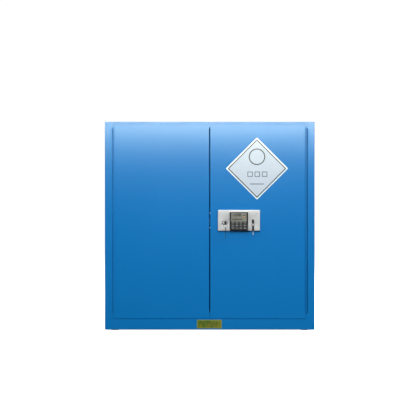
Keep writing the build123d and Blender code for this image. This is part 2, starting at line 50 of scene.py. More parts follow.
# finishes: tones are linear colours along the grain pattern, grain is its scale per metre,
# rough is lowest and highest roughness, bump is (scale, strength, distance in metres),
# gloss is the specular level, coat the weight of a clear coat
finishes = {
    "cabinetPaint": {
        "tones": [(0.10, (0.0006, 0.146, 0.415)), (0.90, (0.0010, 0.157, 0.442))],
        "grain": (3.0, 3.0, 3.0), "rough": (0.280, 0.295), "bump": (520, 0.10, 0.0002)},
    "hingePaint": {
        "tones": [(0.2, (0.0006, 0.150, 0.425)), (0.8, (0.0010, 0.162, 0.455))],
        "grain": (9.0, 9.0, 9.0), "rough": (0.32, 0.36), "bump": (520, 0.14, 0.0002), "gloss": 0.38},
    "galvanised": {
        "tones": [(0.0, (0.36, 0.37, 0.38)), (0.5, (0.43, 0.44, 0.45)), (1.0, (0.50, 0.51, 0.52))],
        "pattern": "spangle", "grain": (110.0, 110.0, 110.0), "rough": (0.42, 0.52), "metal": 0.7,
        "bump": (260, 0.08, 0.0002)},
    "brushedSteel": {
        "tones": [(0.25, (0.50, 0.52, 0.54)), (0.75, (0.58, 0.59, 0.60))],
        "grain": (12.0, 900.0, 900.0), "rough": (0.36, 0.48), "metal": 0.30, "bump": (900, 0.04, 0.0001)},
    "keySteel": {
        "tones": [(0.3, (0.030, 0.030, 0.033)), (0.7, (0.060, 0.060, 0.066))],
        "grain": (80.0, 80.0, 300.0), "rough": (0.42, 0.54), "metal": 0.5, "bump": (900, 0.04, 0.0001)},
    # painted light: a zinc lightened nearly to white, so the bolt carrier in the door seam and the foot pads
    # under the skirt don't fall dark in their shade, and a painted highlight on the main key's blade
    "paleZincPaintedLight": {
        "tones": [(0.3, (0.84, 0.86, 0.88)), (0.7, (0.93, 0.94, 0.95))],
        "grain": (120.0, 120.0, 120.0), "rough": (0.30, 0.42), "metal": 0.2, "bump": (900, 0.04, 0.0001)},
    "platedSteel": {
        "tones": [(0.3, (0.70, 0.71, 0.72)), (0.7, (0.80, 0.80, 0.80))],
        "grain": (60.0, 60.0, 60.0), "rough": (0.22, 0.34), "metal": 0.55, "bump": (700, 0.03, 0.0001)},
    "blackMoulding": {
        "tones": [(0.3, (0.005, 0.005, 0.006)), (0.7, (0.009, 0.009, 0.011))],
        "grain": (180.0, 180.0, 180.0), "rough": (0.42, 0.55), "bump": (2400, 0.12, 0.0001), "gloss": 0.35},
    "keyMoulding": {
        "tones": [(0.3, (0.050, 0.054, 0.058)), (0.7, (0.066, 0.070, 0.074))],
        "grain": (220.0, 220.0, 220.0), "rough": (0.45, 0.58), "bump": (2600, 0.10, 0.0001)},
    "keyHeadMoulding": {
        "tones": [(0.3, (0.003, 0.003, 0.003)), (0.7, (0.006, 0.006, 0.006))],
        "grain": (150.0, 150.0, 150.0), "rough": (0.50, 0.60), "bump": (1800, 0.08, 0.0001), "gloss": 0.12},
    "displayGlass": {
        "tones": [(0.3, (0.175, 0.180, 0.148)), (0.7, (0.225, 0.230, 0.195))],
        "grain": (70.0, 70.0, 70.0), "rough": (0.16, 0.24), "bump": (300, 0.02, 0.0001), "coat": 0.6},
    "displayInk": {
        "tones": [(0.3, (0.010, 0.012, 0.009)), (0.7, (0.018, 0.020, 0.016))],
        "grain": (200.0, 200.0, 200.0), "rough": (0.45, 0.55), "bump": (900, 0.02, 0.0001)},
    "amberLens": {
        "tones": [(0.3, (0.55, 0.24, 0.03)), (0.7, (0.68, 0.34, 0.06))],
        "grain": (400.0, 400.0, 400.0), "rough": (0.18, 0.26), "bump": (1200, 0.04, 0.0001), "coat": 0.5},
    "keyInk": {
        "tones": [(0.3, (0.66, 0.67, 0.68)), (0.7, (0.76, 0.77, 0.78))],
        "grain": (300.0, 300.0, 300.0), "rough": (0.45, 0.55), "bump": (1500, 0.03, 0.0001)},
    "placardWhite": {
        "tones": [(0.3, (0.66, 0.78, 0.82)), (0.7, (0.72, 0.82, 0.86))],
        "grain": (40.0, 40.0, 40.0), "rough": (0.30, 0.38), "bump": (900, 0.02, 0.0001)},
    "placardFace": {
        "tones": [(0.3, (0.420, 0.495, 0.570)), (0.7, (0.465, 0.535, 0.605))],
        "grain": (160.0, 160.0, 160.0), "rough": (0.32, 0.42), "bump": (1100, 0.03, 0.0001)},
    "placardInk": {
        "tones": [(0.3, (0.010, 0.014, 0.020)), (0.7, (0.018, 0.024, 0.032))],
        "grain": (160.0, 160.0, 160.0), "rough": (0.38, 0.48), "bump": (1100, 0.03, 0.0001)},
    "greyInk": {
        "tones": [(0.3, (0.085, 0.110, 0.145)), (0.7, (0.120, 0.145, 0.180))],
        "grain": (160.0, 160.0, 160.0), "rough": (0.38, 0.48), "bump": (1100, 0.03, 0.0001)},
    "labelOlive": {
        "tones": [(0.36, (0.045, 0.115, 0.006)), (0.46, (0.095, 0.150, 0.006)),
                  (0.54, (0.150, 0.185, 0.022)), (0.64, (0.225, 0.165, 0.003))],
        "grain": (110.0, 110.0, 34.0), "rough": (0.42, 0.54), "bump": (900, 0.03, 0.0001), "gloss": 0.3},
    "labelEdge": {
        "tones": [(0.3, (0.15, 0.21, 0.05)), (0.7, (0.21, 0.25, 0.07))],
        "grain": (110.0, 110.0, 110.0), "rough": (0.38, 0.50), "bump": (900, 0.03, 0.0001)},
    "labelInk": {
        "tones": [(0.3, (0.050, 0.075, 0.010)), (0.7, (0.075, 0.080, 0.010))],
        "grain": (140.0, 140.0, 140.0), "rough": (0.40, 0.50), "bump": (900, 0.03, 0.0001)},
    # painted shade: a deep blue that stands for the shadow in the hinge gaps and along the door seam, used on
    # the hinge beads and the meeting seal
    "paintedShadeBlue": {
        "tones": [(0.3, (0.0005, 0.024, 0.100)), (0.7, (0.001, 0.030, 0.120))],
        "grain": (120.0, 120.0, 120.0), "rough": (0.70, 0.85), "bump": (900, 0.12, 0.0002), "gloss": 0.04},
    "blackRubber": {
        "tones": [(0.3, (0.012, 0.012, 0.012)), (0.7, (0.024, 0.023, 0.022))],
        "grain": (120.0, 120.0, 120.0), "rough": (0.72, 0.85), "bump": (1400, 0.20, 0.0002)},
    "turnedBrass": {
        "tones": [(0.3, (0.46, 0.30, 0.11)), (0.7, (0.58, 0.40, 0.17))],
        "grain": (60.0, 60.0, 60.0), "rough": (0.32, 0.46), "metal": 1.0, "bump": (1200, 0.05, 0.0001)},
    "circuitBoard": {
        "tones": [(0.35, (0.010, 0.090, 0.030)), (0.65, (0.020, 0.140, 0.045))],
        "grain": (450.0, 450.0, 450.0), "rough": (0.30, 0.42), "bump": (1600, 0.10, 0.0001)},
}
# what all finishes share: the noise's detail, where most of its values lie, the clear coat
finishForm = {"grainDetail": 3.0, "rippleDetail": 2.0, "spread": (0.3, 0.7), "coatRough": 0.08}


def makeFinish(name, recipe):
    material = bpy.data.materials.new(name)
    material.use_nodes = True
    tree = material.node_tree
    add, join = tree.nodes.new, tree.links.new
    shader = tree.nodes["Principled BSDF"]
    shader.inputs["Metallic"].default_value = recipe.get("metal", 0.0)
    shader.inputs["Specular IOR Level"].default_value = recipe.get("gloss", 0.5)
    shader.inputs["Coat Weight"].default_value = recipe.get("coat", 0.0)
    shader.inputs["Coat Roughness"].default_value = finishForm["coatRough"]
    place = add("ShaderNodeTexCoord")
    stretch = add("ShaderNodeMapping")
    stretch.inputs["Scale"].default_value = recipe["grain"]
    join(place.outputs["Object"], stretch.inputs["Vector"])
    if recipe.get("pattern") == "spangle":
        grain = add("ShaderNodeTexVoronoi")
        value = grain.outputs["Color"]
    else:
        grain = add("ShaderNodeTexNoise")
        grain.inputs["Detail"].default_value = finishForm["grainDetail"]
        value = grain.outputs["Fac"]
    grain.inputs["Scale"].default_value = 1.0
    join(stretch.outputs["Vector"], grain.inputs["Vector"])
    tint = add("ShaderNodeValToRGB")
    stops = tint.color_ramp.elements
    while len(stops) < len(recipe["tones"]):
        stops.new(0.5)
    for stop, (at, colour) in zip(stops, recipe["tones"]):
        stop.position = at
        stop.color = (*colour, 1.0)
    join(value, tint.inputs["Fac"])
    join(tint.outputs["Color"], shader.inputs["Base Color"])
    sheen = add("ShaderNodeMapRange")
    sheen.inputs["From Min"].default_value, sheen.inputs["From Max"].default_value = finishForm["spread"]
    sheen.inputs["To Min"].default_value, sheen.inputs["To Max"].default_value = recipe["rough"]
    join(value, sheen.inputs["Value"])
    join(sheen.outputs["Result"], shader.inputs["Roughness"])
    ripple = add("ShaderNodeTexNoise")
    scale, strength, distance = recipe["bump"]
    ripple.inputs["Scale"].default_value = scale
    ripple.inputs["Detail"].default_value = finishForm["rippleDetail"]
    join(place.outputs["Object"], ripple.inputs["Vector"])
    bump = add("ShaderNodeBump")
    bump.inputs["Strength"].default_value = strength
    bump.inputs["Distance"].default_value = distance
    join(ripple.outputs["Fac"], bump.inputs["Height"])
    join(bump.outputs["Normal"], shader.inputs["Normal"])
    return material


materials = {name: makeFinish(name, recipe) for name, recipe in finishes.items()}
print("finishes made:", len(materials))

nodeFinishes = {
    "cabinetPaint": ["outer_shell", "back_panel", "base_pan", "inner_liner", "door_stop_frame",
                     "left_door_skin", "right_door_skin", "left_door_pan", "right_door_pan"],
    "hingePaint": ["hinge_frame_leaves", "left_hinge_leaf", "right_hinge_leaf", "hinge_pins"],
    "galvanised": ["sump_tray", "shelf", "shelf_standards", "shelf_clips", "gear_bracket", "top_rod",
                   "bottom_rod", "left_top_bolt", "left_bottom_bolt", "flame_arresters"],
    "keySteel": ["main_plug", "override_plug"],
    # the bolts in the seam are lightened, painted light against the seam's shade
    "paleZincPaintedLight": ["bolt_carrier"],
    "blackMoulding": ["battery_box"],
    # the meeting seal takes the painted shade blue of the shaded seam instead of its rubber's own colour
    "paintedShadeBlue": ["meeting_seal"],
    "blackRubber": ["catch_magnets"],
    "turnedBrass": ["ground_terminal", "vent_bushings"],
    "circuitBoard": ["circuit_board"],
}
for finish, members in nodeFinishes.items():
    for member in members:
        node = nodes[member]
        if not node.material_slots:
            node.data.materials.append(materials[finish])
        for place in node.material_slots:
            place.material = materials[finish]
print("frame nodes finished:", sum(map(len, nodeFinishes.values())))

# from a drawing's (right, up, out) to the cabinet's axes
facing = Matrix(((1, 0, 0, 0), (0, 0, -1, 0), (0, 1, 0, 0), (0, 0, 0, 1)))
sideways = Matrix(((0, 0, 1, 0), (1, 0, 0, 0), (0, 1, 0, 0), (0, 0, 0, 1)))


def arcPoints(x, z, radius, start, end, count):
    steps = [start + (end - start) * i / count for i in range(count + 1)]
    return [(x + radius * math.cos(a), z + radius * math.sin(a)) for a in steps]


def circle(x, z, radius, count=48):
    return arcPoints(x, z, radius, 0, 2 * math.pi, count)[:-1]


def roundRect(x, z, wide, high, corner, count=5):
    points = []
    for turn, (sx, sz) in enumerate(((1, 1), (-1, 1), (-1, -1), (1, -1))):
        cx, cz = x + sx * (wide / 2 - corner), z + sz * (high / 2 - corner)
        points += arcPoints(cx, cz, corner, turn * math.pi / 2, (turn + 1) * math.pi / 2, count)
    return points


def diamond(x, z, half, corner, count=5):
    points = []
    reach = half - corner * math.sqrt(2)
    for turn in range(4):
        way = turn * math.pi / 2
        points += arcPoints(x + reach * math.cos(way), z + reach * math.sin(way), corner,
                            way - math.pi / 4, way + math.pi / 4, count)
    return points


def curveMesh(splines, extrude, bevel, flat, steps=2):
    curve = bpy.data.curves.new("outline", "CURVE")
    curve.dimensions = "2D" if flat else "3D"
    curve.fill_mode = "BOTH" if flat else "FULL"
    curve.extrude = extrude * mm
    curve.bevel_depth = bevel * mm
    curve.bevel_resolution = steps
    curve.offset = -bevel * mm if flat else 0.0
    curve.use_fill_caps = not flat
    for points in splines:
        spline = curve.splines.new("POLY")
        spline.points.add(len(points) - 1)
        for knot, point in zip(spline.points, points):
            knot.co = (*[p * mm for p in point], *([0.0] * (3 - len(point))), 1.0)
        spline.use_cyclic_u = flat
    holder = bpy.data.objects.new("outline", curve)
    mesh = bpy.data.meshes.new_from_object(holder)
    bpy.data.objects.remove(holder)
    bpy.data.curves.remove(curve)
    return mesh


def plate(outline, holes, back, front, edge=0.0):
    # a flat part that faces the viewer, with rounded edges
    mesh = curveMesh([outline, *holes], abs(back - front) / 2 - edge, edge, True)
    mesh.transform(Matrix.Translation((0, doorFace + (back + front) / 2 * mm, 0)) @ facing)
    return mesh


def sidePlate(outline, holes, x, thick, edge=0.0):
    # a flat part seen edge-on: its outline is drawn in (depth, height)
    mesh = curveMesh([outline, *holes], thick / 2 - edge, edge, True)
    mesh.transform(Matrix.Translation((x * mm, doorFace, 0)) @ sideways)
    return mesh


def wire(points, radius):
    # points are (x, depth, height)
    mesh = curveMesh([points], 0.0, radius, False, 3)
    mesh.transform(Matrix.Translation((0, doorFace, 0)))
    return mesh


def turned(profile, axis, centre, count=48, knurl=0.0):
    # a part from the lathe: the profile is (radius, along), the axis is a letter,
    # count is the number of sides and knurl the depth of the milling
    built = bmesh.new()
    rings = []
    for radius, along in profile:
        ring = []
        for i in range(count if radius else 1):
            angle = 2 * math.pi * i / count
            r = radius - knurl * (i % 2)
            u, v = r * math.cos(angle), r * math.sin(angle)
            spot = {"X": (along, u, v), "Y": (u, along, v), "Z": (u, v, along)}[axis]
            ring.append(built.verts.new([(c + s) * mm for c, s in zip(centre, spot)]))
        rings.append(ring)
    for one, two in zip(rings, rings[1:]):
        for i in range(count):
            j = (i + 1) % count
            corners = [one[i % len(one)], one[j % len(one)], two[j % len(two)], two[i % len(two)]]
            corners = [c for n, c in enumerate(corners) if c not in corners[:n]]
            if len(corners) > 2:
                built.faces.new(corners)
    for ring in (rings[0], rings[-1]):
        if len(ring) > 1:
            built.faces.new(ring)
    bmesh.ops.recalc_face_normals(built, faces=built.faces)
    mesh = bpy.data.meshes.new("turned")
    built.to_mesh(mesh)
    built.free()
    return mesh


def atDepth(mesh):
    # lathe parts on the front count their depth from the front plane
    mesh.transform(Matrix.Translation((0, doorFace, 0)))
    return mesh


def numeral(text, size, x, z, depth, thick=0.05):
    face = bpy.data.curves.new("numeral", "FONT")
    face.body = text
    face.size = size * mm
    face.extrude = thick * mm
    face.align_x = "CENTER"
    face.align_y = "CENTER"
    face.resolution_u = 4
    holder = bpy.data.objects.new("numeral", face)
    mesh = bpy.data.meshes.new_from_object(holder)
    bpy.data.objects.remove(holder)
    bpy.data.curves.remove(face)
    mesh.transform(Matrix.Translation((x * mm, doorFace + depth * mm, z * mm)) @ facing)
    return mesh


def piece(name, parts, body, slotName, *hidden, weld=0.005 * mm, sharp=35):
    # parts are (mesh, finish); they become one object that moves with the body
    # and stands in for the hidden nodes of the frame
    whole = bmesh.new()
    used = []
    for mesh, finish in parts:
        if finish not in used:
            used.append(finish)
        known = len(whole.faces)
        whole.from_mesh(mesh)
        whole.faces.ensure_lookup_table()
        for face in whole.faces[known:]:
            face.material_index = used.index(finish)
        bpy.data.meshes.remove(mesh)
    bmesh.ops.remove_doubles(whole, verts=whole.verts, dist=weld)
    loose = [v for v in whole.verts if not v.link_faces]
    bmesh.ops.delete(whole, geom=loose, context="VERTS")
    final = bpy.data.meshes.new(name)
    whole.to_mesh(final)
    whole.free()
    for finish in used:
        final.materials.append(materials[finish])
    final.shade_smooth()
    final.set_sharp_from_angle(angle=math.radians(sharp))
    thing = bpy.data.objects.new(name, final)
    bpy.context.scene.collection.objects.link(thing)
    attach(thing, body)
    if hidden:
        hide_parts(*hidden)
    return thing


# the white diamond plate: a printed border, a round blank field, three tick boxes and a ruled line;
# film is the thickness of the print and sunk how deep its back lies in the plate
placard = {"x": 245.6, "z": 843.0, "half": 162.0, "corner": 5.0, "thick": 0.8, "edge": 0.3,
           "film": 0.1, "sunk": 0.05, "margin": 9.2, "line": 5.4, "lineCorners": (2.5, 1.5),
           "fieldCorner": 2.0, "ringZ": 904.0, "ringR": 43.0, "ringLine": 5.6,
           "boxX": (-36.0, 1.5, 40.0), "boxZ": 813.5, "box": 28.0, "boxLine": 4.4, "boxCorners": (2.5, 1.2),
           "ruleZ": 762.7, "ruleLong": 74.0, "ruleLine": 5.0, "ruleCorner": 1.8}


def makePlacard():
    p = placard
    x, z, face = p["x"], p["z"], -p["thick"]
    sheet = plate(diamond(x, z, p["half"], p["corner"]), [], p["edge"], face, p["edge"])
    piece("placardPlate", [(sheet, "placardWhite")], "right_door", "placard_film", "door_placard")
    inner = p["half"] - p["margin"]
    fieldHalf = inner - p["line"] * math.sqrt(2)
    field = plate(diamond(x, z, fieldHalf, p["fieldCorner"]), [], face + p["sunk"], face - p["film"])
    piece("placardField", [(field, "placardFace")], "right_door", "placard_film")
    ink = face - 2 * p["film"]
    outside, inside = p["lineCorners"]
    border = plate(diamond(x, z, inner, outside), [diamond(x, z, fieldHalf, inside)], face, ink)
    ring = plate(circle(x, p["ringZ"], p["ringR"]), [circle(x, p["ringZ"], p["ringR"] - p["ringLine"])],
                 face, ink)
    piece("placardLines", [(border, "placardInk"), (ring, "placardInk")], "right_door", "placard_film")
    size, hole = p["box"], p["box"] - 2 * p["boxLine"]
    outside, inside = p["boxCorners"]
    marks = []
    for shift in p["boxX"]:
        marks.append(plate(roundRect(x + shift, p["boxZ"], size, size, outside),
                           [roundRect(x + shift, p["boxZ"], hole, hole, inside)], face, ink))
    rule = roundRect(x, p["ruleZ"], p["ruleLong"], p["ruleLine"], p["ruleCorner"])
    marks.append(plate(rule, [], face, ink))
    piece("placardMarks", [(mark, "greyInk") for mark in marks], "right_door", "placard_film")


# the small olive label on the bottom strip, with a lighter edge and blank rows (up, right, length)
label = {"x": -1.9, "z": 35.0, "wide": 130.0, "high": 45.0, "corner": 2.0, "thick": 0.5, "bevel": 0.15,
         "edge": 4.0, "fieldCorner": 1.0, "fieldFilm": 0.05, "rowHigh": 3.0, "rowCorner": 1.0, "rowFilm": 0.1,
         "rows": ((11.0, -16.0, 66.0), (3.5, 6.0, 96.0), (-4.0, -8.0, 80.0), (-11.5, 14.0, 58.0))}


def makeLabel():
    p = label
    x, z, face = p["x"], p["z"], -p["thick"]
    sheet = plate(roundRect(x, z, p["wide"], p["high"], p["corner"]), [], p["bevel"], face, p["bevel"])
    piece("labelSheet", [(sheet, "labelEdge")], "cabinet", "label_film", "base_label")
    outline = roundRect(x, z, p["wide"] - 2 * p["edge"], p["high"] - 2 * p["edge"], p["fieldCorner"])
    field = plate(outline, [], face + p["fieldFilm"], face - p["fieldFilm"])
    piece("labelField", [(field, "labelOlive")], "cabinet", "label_film")
    rows = [plate(roundRect(x + shift, z + up, wide, p["rowHigh"], p["rowCorner"]), [], face,
                  face - p["rowFilm"]) for up, shift, wide in p["rows"]]
    piece("labelRows", [(row, "labelInk") for row in rows], "cabinet", "label_film")


# lips in the cabinet's paint behind the gaps round the doors, and a dark bead (place, width) beside each
# hinge that is painted shade for the hinge gap's shadow line
gapForm = {"doorX": 496.0, "doorLow": 63.5, "doorHigh": 1073.5, "stileX": 507.2,
           "stripLow": 59.8, "stripHigh": 1077.3, "hingeLow": 95.0, "hingeHigh": 1050.0,
           "gap": 0.35, "near": 0.9, "far": 2.1, "corner": 0.3, "edge": 0.15, "bottomSet": 1.5,
           "seamHalf": 2.6, "seamLow": 93.0, "seamHigh": 1055.0, "seamSet": 0.6,
           "joints": {"left": (-505.4, 1.2), "right": (507.0, 4.0)},
           "shadeBeadOver": 4.0, "shadeBeadBack": -1.0, "shadeBeadFront": -1.6, "shadeBeadEdge": 0.25}


def flatStrip(x0, x1, z0, z1, back, front, edge=gapForm["edge"]):
    outline = roundRect((x0 + x1) / 2, (z0 + z1) / 2, x1 - x0, z1 - z0, gapForm["corner"], 2)
    return plate(outline, [], back, front, edge)


def makeGapLips():
    p = gapForm
    near, far, x = p["near"], p["far"], p["doorX"] + p["gap"]
    low, high = p["stripLow"], p["stripHigh"]
    strips = [flatStrip(-x, x, p["doorHigh"] + p["gap"], high, far, near),
              flatStrip(-x, x, low, p["doorLow"] - p["gap"], far + p["bottomSet"], near + p["bottomSet"])]
    for side in (-1, 1):
        inner, outer = sorted((side * x, side * p["stileX"]))
        strips.append(flatStrip(inner, outer, p["hingeHigh"] + p["gap"], high, far, near))
        strips.append(flatStrip(inner, outer, low, p["hingeLow"] - p["gap"], far, near))
    for start, end in ((low, p["seamLow"]), (p["seamHigh"], high)):
        strips.append(flatStrip(-p["seamHalf"], p["seamHalf"], start, end,
                                far + p["seamSet"], near + p["seamSet"]))
    piece("gapLips", [(strip, "cabinetPaint") for strip in strips], "cabinet", "blue_paint")
    # each bead is painted shade: a dark strip drawn where the hinge gap casts its shadow line, wider on the
    # right where that shadow is deeper
    for name, (x, wide) in p["joints"].items():
        shadeBead = flatStrip(x - wide / 2, x + wide / 2, p["hingeLow"], p["hingeHigh"] + p["shadeBeadOver"],
                         p["shadeBeadBack"], p["shadeBeadFront"], p["shadeBeadEdge"])
        piece(name + "HingeShadeBead", [(shadeBead, "paintedShadeBlue")], "cabinet", "black_rubber")


# the steel panel that carries both locks and the keypad; the screw's head is (share of its radius, depth)
lockPanel = {"x": 151.8, "z": 573.3, "wide": 218.0, "high": 108.0, "proud": 8.0, "corner": 4.0, "edge": 1.8,
             "lineIn": 7.0, "line": 0.9, "lineProud": 0.25, "lineSunk": 0.2, "lineEdge": 0.12,
             "lineCorners": (3.0, 2.2), "screwX": 243.5, "screwZ": 609.6, "screwR": 3.4,
             "screwHead": ((0, -2.0), (0.55, -1.9), (0.85, -1.4), (1, -0.6), (1, 0.2)),
             "crossLong": 3.4, "crossWide": 0.8, "crossCorner": 0.3, "crossTop": 2.02, "crossLow": 1.7}
# the right lock has a round collar with a turned groove, whose steps are (inset from the rim, drop)
mainLock = {"x": 224.0, "z": 569.0, "collarR": 11.0, "boreR": 6.3, "barrelR": 8.5, "barrelEnd": 10.0,
            "bevel": 0.6, "groove": ((2.6, 0), (2.3, 0.5), (1.7, 0.5), (1.4, 0))}
# the left lock has an oval collar in a dark rim, both a little to the side of its bore; the dark rim is
# painted shade, a shadow outline round the collar
overrideLock = {"x": 82.0, "z": 561.6, "ovalWide": 29.0, "ovalHigh": 17.0, "ovalX": -2.7, "shadeRimX": -3.2,
                "rim": 2.7, "shadeRimProud": 0.9, "shadeRimSunk": 0.4, "shadeRimEdge": 0.3, "ovalEdge": 0.7}
collarProud = 2.5


def makeLockPanel():
    p = lockPanel
    face = -p["proud"]
    barrels = [circle(lock["x"], lock["z"], mainLock["barrelR"]) for lock in (mainLock, overrideLock)]
    outline = roundRect(p["x"], p["z"], p["wide"], p["high"], p["corner"])
    body = plate(outline, barrels, p["edge"], face, p["edge"])
    wide, high = p["wide"] - 2 * p["lineIn"], p["high"] - 2 * p["lineIn"]
    outside, inside = p["lineCorners"]
    line = plate(roundRect(p["x"], p["z"], wide, high, outside),
                 [roundRect(p["x"], p["z"], wide - 2 * p["line"], high - 2 * p["line"], inside)],
                 face + p["lineSunk"], face - p["lineProud"], p["lineEdge"])
    piece("lockPlate", [(body, "brushedSteel"), (line, "brushedSteel")],
          "right_door", "satin_steel", "lock_panel")
    head = [(p["screwR"] * share, depth) for share, depth in p["screwHead"]]
    screw = atDepth(turned(head, "Y", (p["screwX"], face, p["screwZ"]), 24))
    # the cross slot is not cut into the head: a flat black cross laid on it is painted shade for the slot
    cross = [(p["crossLong"], p["crossWide"]), (p["crossWide"], p["crossLong"])]
    paintedSlotShades = [(plate(roundRect(p["screwX"], p["screwZ"], wide, high, p["crossCorner"], 2), [],
                    face - p["crossLow"], face - p["crossTop"]), "blackMoulding") for wide, high in cross]
    piece("panelScrew", [(screw, "brushedSteel"), *paintedSlotShades], "right_door", "plated_steel")


def ovalOutline(x, z, wide, high):
    return roundRect(x, z, wide, high, high / 2 - 0.01, 14)


def makeLockCollars():
    p, q = mainLock, overrideLock
    face = -lockPanel["proud"]
    front = face - collarProud
    outer, inner, bevel = p["collarR"], p["boreR"], p["bevel"]
    bore = circle(q["x"], q["z"], inner)
    oval = ovalOutline(q["x"] + q["ovalX"], q["z"], q["ovalWide"] - q["rim"], q["ovalHigh"] - q["rim"])
    # the dark rim is painted shade: a black outline drawn round the oval collar where its shadow falls
    rim = ovalOutline(q["x"] + q["shadeRimX"], q["z"], q["ovalWide"] + q["rim"], q["ovalHigh"] + q["rim"])
    parts = [(plate(oval, [bore], face, front, q["ovalEdge"]), "brushedSteel"),
             (plate(rim, [bore], face + q["shadeRimSunk"], face - q["shadeRimProud"], q["shadeRimEdge"]), "blackMoulding")]
    groove = [(outer - inset, front + drop) for inset, drop in p["groove"]]
    collar = [(inner, front + bevel), (inner + 0.5, front), *groove, (outer - bevel, front),
              (outer, front + bevel), (outer, face), (inner, face)]
    parts.append((atDepth(turned(collar, "Y", (p["x"], 0, p["z"]), 64)), "brushedSteel"))
    tube = [(inner, face), (p["barrelR"], face), (p["barrelR"], p["barrelEnd"]), (inner, p["barrelEnd"]),
            (inner, face)]
    for lock in (p, q):
        parts.append((atDepth(turned(tube, "Y", (lock["x"], 0, lock["z"]))), "platedSteel"))
    piece("lockCollars", parts, "right_door", "plated_steel", "lock_barrels")


# the keypad: a black housing with a display window and twelve keys
keypad = {"x": 151.1, "z": 570.7, "wide": 95.6, "high": 92.4, "corner": 3.0, "edge": 0.6,
          "front": 20.0, "frontThick": 2.4, "wall": 2.0, "wallCorner": 1.5, "wallLap": 1.2,
          "windowZ": 590.5, "windowWide": 81.5, "windowHigh": 45.6, "windowCorner": 1.0,
          "lipOut": (3.6, 2.2), "lipIn": (0.8, 0.4), "lipCorner": 1.6, "lipEdge": 0.3, "lipProud": 0.5,
          "keyWide": 15.6, "keyHigh": 9.8, "keyCorner": 1.6, "holeCorner": 1.4, "keyEdge": 0.9,
          "keyRight": 20.6, "keyDown": 14.4, "keyMiddleZ": 547.2, "keyBack": 13.0, "keyFront": 21.5,
          "clearance": 0.3, "numeral": 7.5, "numeralProud": 0.03, "dash": (6.0, 1.3), "dashCorner": 0.6,
          "ring": (2.4, 1.3), "ink": 0.08,
          "faces": ("1", "2", "3", "4", "5", "6", "7", "8", "9", "0", "dash", "ring")}


def keyPlaces():
    for index, face in enumerate(keypad["faces"]):
        row, column = divmod(index, 4)
        x = keypad["x"] + (column - 1.5) * keypad["keyRight"]
        yield index + 1, face, x, keypad["keyMiddleZ"] - (row - 1) * keypad["keyDown"]


def windowOutline(wider, higher, corner):
    p = keypad
    return roundRect(p["x"], p["windowZ"], p["windowWide"] + wider, p["windowHigh"] + higher, corner)


def makeKeypadHousing():
    p = keypad
    front, gap = -p["front"], 2 * p["clearance"]
    outline = roundRect(p["x"], p["z"], p["wide"], p["high"], p["corner"])
    holes = [windowOutline(0, 0, p["windowCorner"])]
    for _, _, x, z in keyPlaces():
        holes.append(roundRect(x, z, p["keyWide"] + gap, p["keyHigh"] + gap, p["holeCorner"], 3))
    face = plate(outline, holes, front + p["frontThick"], front, p["edge"])
    hollow = roundRect(p["x"], p["z"], p["wide"] - 2 * p["wall"], p["high"] - 2 * p["wall"], p["wallCorner"])
    wall = plate(outline, [hollow], -lockPanel["proud"], front + p["wallLap"])
    lip = plate(windowOutline(*p["lipOut"], p["lipCorner"]), [windowOutline(*p["lipIn"], p["windowCorner"])],
                front + p["lipEdge"], front - p["lipProud"], p["lipEdge"])
    piece("keypadHousing", [(part, "blackMoulding") for part in (face, wall, lip)],
          "right_door", "black_plastic", "keypad_bezel")


# segments of a figure: a top, b and c right, d bottom, e and f left, g middle
figures = {"0": "abcdef", "1": "bc", "2": "abged", "3": "abgcd", "4": "fgbc", "5": "afgcd",
           "6": "afgedc", "7": "abc", "8": "abcdefg", "9": "abcdfg"}
# the display: figures over a row of blocks, and a lamp under an arc on the right
display = {"figures": "1208", "figureX": -28.5, "figureStep": 11.2, "figureZ": 601.5, "figureWide": 6.2,
           "figureHigh": 10.6, "stroke": 3.0, "strokeCorner": 0.5, "rowX": -9.0, "rowZ": 579.5,
           "rowStep": 7.4, "rowCount": 7, "rowWide": 5.4, "rowHigh": 6.0, "rowCorner": 0.6,
           "paneDeep": 0.7, "paneThick": 2.0, "paneCorner": 0.8, "paneEdge": 0.3, "paneGap": 0.2,
           "inkSunk": 0.02, "inkProud": 0.08, "lampX": 178.0, "lampZ": 592.5, "lampR": 3.6,
           "lens": ((0, -0.9), (0.5, -0.75), (0.85, -0.4), (1, 0.1)),
           "hoodR": 9.6, "hoodLine": 2.4, "hoodFrom": 0.3, "hoodTo": 2.8}


def figureBars(figure, x, z):
    p = display
    wide, high, stroke = p["figureWide"], p["figureHigh"], p["stroke"]
    places = {"a": (0, high / 2, wide, stroke), "g": (0, 0, wide, stroke), "d": (0, -high / 2, wide, stroke),
              "b": (wide / 2, high / 4, stroke, high / 2), "c": (wide / 2, -high / 4, stroke, high / 2),
              "f": (-wide / 2, high / 4, stroke, high / 2), "e": (-wide / 2, -high / 4, stroke, high / 2)}
    for bar in figures[figure]:
        right, up, long, tall = places[bar]
        yield roundRect(x + right, z + up, long, tall, p["strokeCorner"], 2)


